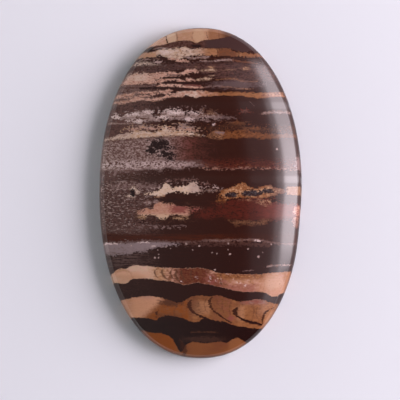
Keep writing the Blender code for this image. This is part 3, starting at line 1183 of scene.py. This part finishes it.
lay_patches(marble(grit, "umber", "maroon", -0.2, 0.5), 0.6, [(-2.2, 26.5, 1.3, 0.25), (-4, 29.3, 3, 0.25)])

# %% [markdown]
# ## Rust line, black band and the cream seam
#
# A rust-red layer ends at a knife-sharp edge with a hair of pale silica on it. Then comes the black
# band with a few white grains, and the widest pale seam, cream at the left and rosy at the right.

# %% Rust layer and its edge
slab.part("rust_layer")
EDGE = [
    (-18, 32.5), (-13, 32.45), (-10, 32.3), (-8, 32.2), (-5, 32.25), (-3, 32.3), (-1, 32.35), (1, 32.1),
    (5, 32.1), (7, 32.0), (9, 32.1), (11, 32.5), (18, 32.6),
]
RUST_TOP = [(-18, 30.9), (-8, 31.2), (3, 31.2), (18, 31)]
lay(
    cover(seam(RUST_TOP, EDGE), 0.12, 0.25) * across.between(3, 6, 1.0, 0.4),
    marble(streak, "rust", "maroon", 0.3, 1.0),
)
SMEAR_TOP = EDGE[:4] + [(-5.5, 32.3), (-3.4, 32.5)]
SMEAR_FOOT = [(-18, 34.2), (-12, 34.3), (-10, 34.0), (-8, 33.6), (-7, 33.2), (-5.5, 32.9), (-3.4, 32.7)]
smear = cover(seam(SMEAR_TOP, SMEAR_FOOT), 0.45, 0.2)
lay(smear, marble(mottle + streak * 0.4, "ash", "smoke", 0.8, 0.9))
lay(smear * grit.between(0.4, 1.0) * 0.35, "haze")
lay(grey_side * rows(33.8, 36.2, 0.8) * (streak + mottle * 0.5).between(-0.5, 0.7) * 0.8, "smoke")
lay(
    cover(vein(EDGE, 0.26), 0.2, 0.1) * across.between(-5, 0, 0.9, 0.7),
    marble(mottle, "dusk", "smoke", 0.0, 0.8),
)
lay(
    cover(vein(EDGE[7:], 0.3), 0.3, 0.1) * across.between(11, 9.5) * 0.8,
    marble(grit, "mauve", "bark", 0.1, 0.5),
)
lay_patches("mist", 0.2, [
    (-8.6, 32.4, 0.5, 0.09), (8.5, 32.2, 0.3, 0.12), (-7.1, 32.9, 0.2, 0.1), (-13.6, 32.6, 1.0, 0.12),
])
lay(cover(vein([(-3, 32.7), (2, 32.5), (6.5, 32.6), (9, 32.7), (11, 32.8)], 0.4), 0.4, 0.2) * 0.4, "dusk")

# %% White grains in the black band
slab.part("white_grains")
GRAINS = [
    (-2.15, 32.6, 0.14), (-0.2, 32.9, 0.12), (-4.5, 33.3, 0.08), (-5.2, 33.1, 0.08), (-6.4, 33.5, 0.07),
    (-6.3, 34.2, 0.08), (-6.85, 34.7, 0.13), (-6.3, 34.7, 0.08), (-1.2, 33.5, 0.07), (1.7, 33.95, 0.1),
    (2.45, 34.05, 0.1), (4.1, 33.5, 0.06), (4.4, 34.15, 0.12), (4.15, 32.55, 0.09), (8.7, 34.55, 0.17),
    (7.1, 33.4, 0.08), (9.3, 33.9, 0.07), (10.6, 32.7, 0.1), (2.15, 36.5, 0.1), (-10.4, 32.9, 0.1),
]
grains_there = deepest([patch(a, d, radius, radius) for a, d, radius in GRAINS])
lay(cover(grains_there, 0.07, 0.09), "haze")
lay_veins(marble(grit, "haze", "umber", 0.1, 0.6), 0.25, [
    ([(9.8, 36.1), (10.5, 35.95), (12, 35.85), (14, 35.9)], 0.22),
])
lay_veins("smoke", 0.12, [([(6.2, 36.7), (7, 36.65), (8.0, 36.55)], 0.12)])

# %% Cream seam
slab.part("cream_seam")
WIDE_TOP = [
    (-18, 37.5), (-13.3, 37.2), (-12.6, 36.6), (-11, 36.3), (-10.2, 35.9), (-8.5, 35.95), (-6, 36.2),
    (-3, 36.3), (1, 36.4), (2.5, 36.95), (5, 37.15), (8, 37.25), (11, 37.0), (18, 36.8),
]
WIDE_FOOT = [
    (-18, 38.8), (-12.6, 38.5), (-11, 38.5), (-10.6, 38.1), (-9, 37.85), (-6, 38.05), (-4, 38.3),
    (-2.3, 38.75), (-1, 38.45), (1, 38.65), (3, 39.1), (5, 39.6), (7, 39.8), (9, 39.8), (10, 40.1),
    (10.6, 40.45), (11.4, 40.55), (12.2, 40.05), (18, 39.3),
]
wide = cover(seam(WIDE_TOP, WIDE_FOOT), 0.12)
lay(wide, marble(mottle, "blush", "cream", 0.0, 0.9))
lay(wide * cloud.between(0.5, -0.5) * across.between(-7, -8) * 0.6, "peach")
lay(wide * rows(37.3, 39, 0.5) * across.between(-7.5, -9.5) * 0.35, "tan")
swirl = seam([(-13, 36.9), (-10.8, 36.6), (-10.2, 37.5)], [(-13, 37.2), (-10.8, 37.0), (-10.2, 37.9)])
lay(wide * cover(swirl, 0.2, 0.2) * 0.6, "tan")
lay(wide * (across + fray * 0.5).between(-8.2, -6.2), marble(mottle, "sand", "tan", 0.0, 0.7))
lay(wide * (across + fray * 0.5).between(-6.2, -4.2), marble(mottle, "salmon", "sienna", 0.1, 0.7))
lay(wide * reach(-3.5, 1.2, 1.0), marble(grit, "sienna", "brick", 0.0, 0.8))
rosy_right = blend(
    across.between(2.5, 5.5),
    marble(mottle, "rose", "sienna", 0.1, 0.8),
    marble(mottle, "salmon", "tan", 0.0, 0.8),
)
lay(wide * across.between(-0.2, 1.6) * (down + fray * 0.4).between(36.8, 37.5), rosy_right)
lay(
    wide * across.between(1.8, 2.8) * (down + fray * 0.4).between(38.4, 37.6),
    marble(grit, "amber", "sienna", 0.0, 0.8),
)
lay(wide * reach(4.0, 8.5, 1.5) * (down + fray * 0.3).between(38.4, 38.9) * 0.65, "rose")
lay(wide * reach(5.0, 9.6, 1.0) * (-grit).between(0.2, 0.9) * 0.45, "sand")
lay(wide * across.between(9.0, 10.0) * 0.7, marble(mottle, "tan", "salmon", 0.0, 0.8))
lay(wide * cover(patch(11.0, 38.3, 1.5, 1.2), 0.3, 0.4) * 0.3, "cream")
lay(wide * across.between(12.3, 12.8) * 0.7, "amber")
lay(wide * grit.between(0.45, 1.0) * across.between(-4.5, -3, 0.1, 0.45), "bark")
ARCS = (
    ([(-6.3, 36.3), (-6.9, 36.9), (-6.6, 37.5), (-6.0, 37.9)], 0.22),
    ([(-5.2, 36.2), (-5.8, 36.7), (-5.6, 37.4), (-4.9, 38.0), (-4.3, 38.3)], 0.36),
    ([(-4.2, 36.3), (-4.5, 36.9), (-4.3, 37.5), (-3.8, 38.1)], 0.2),
    ([(-3.4, 36.3), (-3.75, 36.9), (-3.6, 37.6), (-3.0, 38.3)], 0.34),
    ([(-2.8, 36.4), (-2.9, 37.0), (-2.5, 37.8), (-2.0, 38.4)], 0.26),
    ([(-1.4, 36.6), (-1.5, 37.3), (-1.1, 38.1)], 0.18), ([(3.0, 37.1), (2.9, 38.0), (3.3, 38.9)], 0.12),
)
lay_cracks("bark", 0.12, ARCS, 0.8)
WHITE_CLUSTERS = (
    (1.4, 37.8, 0.3, 0.5), (2.35, 38.2, 0.22, 0.16), (2.9, 38.5, 0.26, 0.16), (3.05, 37.85, 0.16, 0.24),
    (2.6, 37.8, 0.13, 0.12), (5.6, 38.4, 0.35, 0.15), (6.7, 38.9, 0.2, 0.2), (7.2, 38.2, 0.2, 0.2),
    (8.0, 37.55, 0.15, 0.12), (4.3, 37.1, 0.3, 0.1), (-0.6, 37.6, 0.25, 0.2), (4.9, 37.9, 0.2, 0.15),
    (-2.9, 38.3, 0.2, 0.2),
)
clusters = cover(deepest([patch(*cluster) for cluster in WHITE_CLUSTERS]), 0.3, 0.15)
lay(clusters * (-grit).between(-0.1, 0.3), "frost")

# %% [markdown]
# ## Scallops
#
# Near the lower tip the tan seam is folded into scallops, each lined with a dark crescent. A crescent
# is drawn as an upright line, because it runs down the stone more than across it.

# %% Scalloped seam
slab.part("scallops")
FOLD_TOP = [
    (-18, 41.6), (-12.1, 41.2), (-10, 40.7), (-7.5, 40.5), (-6, 40.75), (-5, 41.0), (-3, 41.45),
    (-2, 40.95), (-1.2, 40.5), (0, 40.35), (1.3, 40.5), (2.5, 40.35), (4, 40.8), (5.8, 41.3), (6.5, 41.3),
    (7.5, 41.1), (9, 41.05), (11, 41.6), (18, 42.5),
]
FOLD_FOOT = [
    (-18, 43.7), (-10, 43.75), (-7.5, 43.85), (-6.6, 44.05), (-6.2, 43.65), (-3, 43.65), (-2.2, 44.0),
    (-0.4, 44.35), (0.4, 43.85), (2.5, 44.2), (3.6, 44.3), (5, 44.85), (7, 45.2), (9, 45.4), (18, 46),
]
fold = cover(seam(FOLD_TOP, FOLD_FOOT), 0.12)
lay(fold, marble(mottle, "amber", "ochre", 0.1, 0.9))
fold_lean = across + down * 1.1 + mottle * 0.3
lay(fold * fold_lean.between(40.7, 38.6), marble(cloud, "peach", "salmon", 0.7, 0.8))
lay(fold * across.between(-9.6, -11) * 0.6, marble(mottle, "tan", "salmon", 0.0, 0.6))
lay(
    fold * fold_lean.between(38.6, 40.7) * across.between(-1.2, -2.2),
    marble(mottle, "burnt", "ochre", 0.3, 0.8),
)
lay(fold * cover(patch(-4.6, 41.4, 1.7, 0.55), 0.3, 0.3) * 0.9, "chocolate")
lay(fold * rows(39.5, 41.1, 0.6) * reach(-1.4, 4.6, 0.6) * 0.55, "russet")
lay(fold * cover(patch(-4.9, 43.4, 1.9, 0.35), 0.3, 0.3) * 0.6, "bark")
lay(fold * reach(-1.4, 1.4, 0.3) * rows(41.2, 43.2, 0.5) * 0.7, "tan")
lay(fold * cover(patch(-1.1, 42, 0.9, 1.4), 0.4, 0.4) * 0.5, "bark")
lay(fold * reach(2.0, 4.8, 0.8) * 0.5, marble(mottle, "russet", "rose", 0.2, 0.8))
lay(fold * reach(5.3, 6.6, 0.5) * rows(41.9, 44.2, 0.4) * 0.8, "tan")
lay(fold * reach(7.2, 9.3, 0.5) * 0.6, marble(mottle, "sienna", "amber", 0.0, 0.6))
lay(fold * across.between(9.2, 9.8) * down.between(42.3, 43.2) * 0.7, "tan")
lay(
    fold * reach(5.8, 9.8, 0.8) * down.between(42.0, 41.4) * 0.75,
    marble(mottle, "rose", "mauve", 0.1, 0.8),
)
for middle_across, reach_across in ((-1.6, 1.6), (1.6, 1.8), (5.2, 2.0)):
    near = (across + (down - 42.4) * 0.25).between(middle_across + 1.2, middle_across + 0.1)
    lay(fold * reach(middle_across, middle_across + reach_across, 0.5) * near * 0.55, "sienna")
lay(fold * threads * across.between(-4, -1, 0.08, 0.35), "bark")
lay_cracks("char", 0.2, [
    ([(6.4, 41.8), (5.6, 42.1), (5.2, 42.5), (5.15, 43.0), (5.5, 43.5), (6.3, 43.9)], 0.72),
], 0.9)
lay_veins("char", 0.15, [
    ([(5.5, 43.5), (6.3, 44.0), (7.2, 44.3), (8.2, 44.55), (9.4, 44.9)], 0.42),
    ([(2.6, 43.1), (3.5, 43.8), (4.6, 44.4)], 0.28), ([(-0.9, 43.0), (0, 43.5), (1.3, 43.95)], 0.34),
])
lay_cracks("chocolate", 0.2, [
    ([(-1.2, 40.8), (-1.7, 41.6), (-1.5, 42.4), (-0.9, 43.0), (0, 43.5), (1.2, 43.95)], 0.62),
    ([(-1.0, 41.0), (-0.3, 41.15), (0.5, 40.9)], 0.16),
    ([(1.8, 40.5), (1.35, 41.3), (1.5, 42.0), (1.95, 42.7), (2.7, 43.2), (3.5, 43.8), (4.6, 44.4)], 0.42),
    ([(11.4, 42.3), (9.9, 42.8), (9.5, 43.4), (9.3, 44.6)], 0.45),
    ([(-6.3, 42.6), (-6.65, 43.2), (-6.5, 43.9)], 0.26),
], 0.9)
lay_cracks("bark", 0.14, [
    ([(7.9, 42.2), (8.0, 43.0), (7.7, 44.0)], 0.14), ([(8.5, 42.2), (8.4, 43.2), (8.8, 44.2)], 0.14),
    ([(0.0, 41.2), (-0.4, 42.0), (0.3, 43.0)], 0.14), ([(0.9, 40.8), (0.6, 41.8), (1.0, 43.0)], 0.14),
    ([(3.4, 41.0), (3.2, 42.0), (3.6, 43.2)], 0.14), ([(4.6, 41.4), (4.3, 42.4), (4.5, 43.2)], 0.14),
    ([(-3.2, 41.8), (-4.0, 42.8), (-3.8, 43.6)], 0.14),
], 0.5)
lay(cover(patch(4.6, 43.8, 0.5, 0.35), 0.1, 0.25) * 0.8, "rose")

# %% Lower tip
slab.part("lower_tip")
TIP_TOP = [
    (-18, 45.6), (-8.7, 45.7), (-8, 45.9), (-7.2, 46.05), (-6, 46.1), (-5, 46.4), (-4.3, 46.9),
    (-3.9, 47.5), (-2.9, 48.9), (-2.3, 48.0), (-2, 47.65), (1, 47.6), (2.6, 47.35), (4, 47.5), (4.8, 47.0),
    (5.7, 46.8), (6.3, 47.2), (8, 48),
]
TIP_FOOT = [(-18, 52), (18, 52)]
tip = cover(seam(TIP_TOP, TIP_FOOT), 0.1)
lay(tip, marble(cloud, "ochre", "sienna", 0.2, 0.9))
lay(tip * across.between(-3.2, -4.2) * 0.85, "burnt")
lay(tip * across.between(-7.5, -8.5) * 0.5, "smoke")
lay(tip * reach(4.2, 6.2, 0.6) * 0.4, "amber")
lay(cover(crack([(-3.3, 47.0), (-2.7, 47.8), (-2.4, 49.9)], 0.9), 0.2, 0.2) * 0.8, "chocolate")
lay(cover(patch(0.6, 47.0, 2.9, 0.45), 0.2, 0.3) * 0.35, "umber")
lay(cover(vein([(-1.5, 45.95), (0.5, 45.85), (2.5, 45.95)], 0.2), 0.15, 0.12) * 0.5, "bark")

# %% [markdown]
# ## Fine grain and polish
#
# Under a lens the whole stone is finely grained, so a faint grain goes over every layer. The girdle
# wall and the back below it are darkened a little with painted shade everywhere but at the top tip, so that
# the rim reads as a thin dark line.
#
# Jasper takes a glassy polish. The dome therefore gets a low roughness and quartz's refractive
# index, 1.54. Two hard layers polish even better, which a thin coat shows, and the girdle wall is
# left as it comes from a coarser wheel. A bump would only blur the long highlight, so there is none.

# %% Fine grain over everything, and painted shade on the wall
slab.part()
lay(grain.between(0.3, 1.5) * 0.22, "ink")
lay((-grain).between(0.5, 1.6) * 0.05, "haze")
# Painted shade: the girdle wall and the back below it are darkened towards ink, except at the top tip.
painted_wall_shade_height = (2.6 * MM, 2.35 * MM)
lay(spot("Z").between(*painted_wall_shade_height) * down.between(3, 6, 0.0, 0.5), "ink")
print("grain laid")

# %% Finish
DOME_ROUGHNESS = 0.16
WALL_ROUGHNESS = 0.86
QUARTZ_IOR = 1.54
coarse_top = rows(6, 43, 4.0) * 0.2 * MM
wall = (spot("Z") - coarse_top).between(2.75 * MM, 2.5 * MM)
hard_layers = rows(11.3, 12.4, 0.3).math("MAXIMUM", rows(22.4, 23.5, 0.3))
shader = rock.add(
    "ShaderNodeBsdfPrincipled",
    inputs={
        "Base Color": slab.colour,
        "Roughness": DOME_ROUGHNESS + wall * (WALL_ROUGHNESS - DOME_ROUGHNESS),
        "IOR": QUARTZ_IOR,
        "Coat Weight": hard_layers * 0.5,
        "Coat Roughness": 0.08,
    },
)
rock.add("ShaderNodeOutputMaterial", inputs=(shader,))
print(f"{len(material.node_tree.nodes)} nodes in the rock")

# %% [markdown]
# ## Table and light
#
# The stone lies on pale paper. Its picture shows one long highlight down the right of the dome and
# a soft shadow on the left, which is what a broad cloth softbox at the right gives. Four softboxes
# at almost one place share that light: a core and a cloth for the highlight, and a glow and a haze
# that soften its edge. A softbox is told by the angles that it fills as seen from the stone, because
# those, and not its distance, decide where its reflection ends. The room itself is a dim wall that
# is brighter low down, so that the table has an even tone.

# %% Table
FLOOR_COLOUR = (0.755, 0.78, 0.83, 1)
TABLE_HALF_SIDE = 1.5
TABLE_GAP = 0.02 * MM
corners = [(x * TABLE_HALF_SIDE, y * TABLE_HALF_SIDE, 0) for x, y in ((-1, -1), (1, -1), (1, 1), (-1, 1))]
table_mesh = bpy.data.meshes.new("table")
table_mesh.from_pydata(corners, [], [(0, 1, 2, 3)])
table = bpy.data.objects.new("table", table_mesh)
table.location.z = -TABLE_GAP
scene.collection.objects.link(table)
paper = bpy.data.materials.new("pale_paper")
paper.use_nodes = True
paper_bench = Bench(paper.node_tree)
paper_shader = paper_bench.add(
    "ShaderNodeBsdfPrincipled", inputs={"Base Color": FLOOR_COLOUR, "Roughness": 0.9, "IOR": 1.2}
)
paper_bench.add("ShaderNodeOutputMaterial", inputs=(paper_shader,))
table_mesh.materials.append(paper)
print(f"table {2 * TABLE_HALF_SIDE:.0f} m square")

# %% Softboxes
SOFTBOX_DISTANCE = 0.6
LAMP_COLOUR = (1.0, 0.9, 0.965)


def add_softbox(name, azimuth, half_azimuth, lowest, highest, radiance):
    """A rectangular light that fills these angles, in degrees, as seen from the stone."""
    elevation = math.radians((lowest + highest) / 2)
    turn = math.radians(azimuth)
    level = math.cos(elevation)
    toward = Vector((math.cos(turn) * level, math.sin(turn) * level, math.sin(elevation)))
    data = bpy.data.lights.new(name, "AREA")
    data.shape = "RECTANGLE"
    data.size = 2 * SOFTBOX_DISTANCE * math.tan(math.radians(half_azimuth)) * level
    data.size_y = 2 * SOFTBOX_DISTANCE * math.tan(math.radians(highest - lowest) / 2)
    data.color = LAMP_COLOUR
    data.energy = radiance * math.pi * data.size * data.size_y
    lamp = bpy.data.objects.new(name, data)
    lamp.location = toward * SOFTBOX_DISTANCE
    lamp.rotation_euler = toward.to_track_quat("Z", "Y").to_euler()
    scene.collection.objects.link(lamp)


add_softbox("softbox_core", 1, 11, 2, 48, 3.4)
add_softbox("softbox_cloth", 12, 27, 2, 49, 4.8)
add_softbox("softbox_glow", 5, 36, 2, 56, 1.6)
add_softbox("softbox_haze", 12, 36, 2, 72, 0.35)
print(f"{len(bpy.data.lights)} softboxes")

# %% Room
world = bpy.data.worlds.new("studio")
scene.world = world
world.use_nodes = True
sky = Bench(world.node_tree)
ray = sky.add("ShaderNodeSeparateXYZ", inputs=(sky.add("ShaderNodeTexCoord", output="Generated"),)).out
low_wall = ray("Z").between(0.08, 0.30, 5.5, 0.20)
left_side = ray("X").between(0.6, -0.4, 0.06, 1.0)
glow = {"Color": (1, 1, 1, 1), "Strength": low_wall * left_side}
sky.add("ShaderNodeOutputWorld", inputs=(sky.add("ShaderNodeBackground", inputs=glow),))
scene.view_settings.view_transform = "Standard"
print("room lit")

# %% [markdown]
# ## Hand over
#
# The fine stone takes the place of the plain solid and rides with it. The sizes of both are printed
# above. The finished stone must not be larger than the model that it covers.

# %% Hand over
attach(stone, "root")
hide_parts("jasper_cabochon")
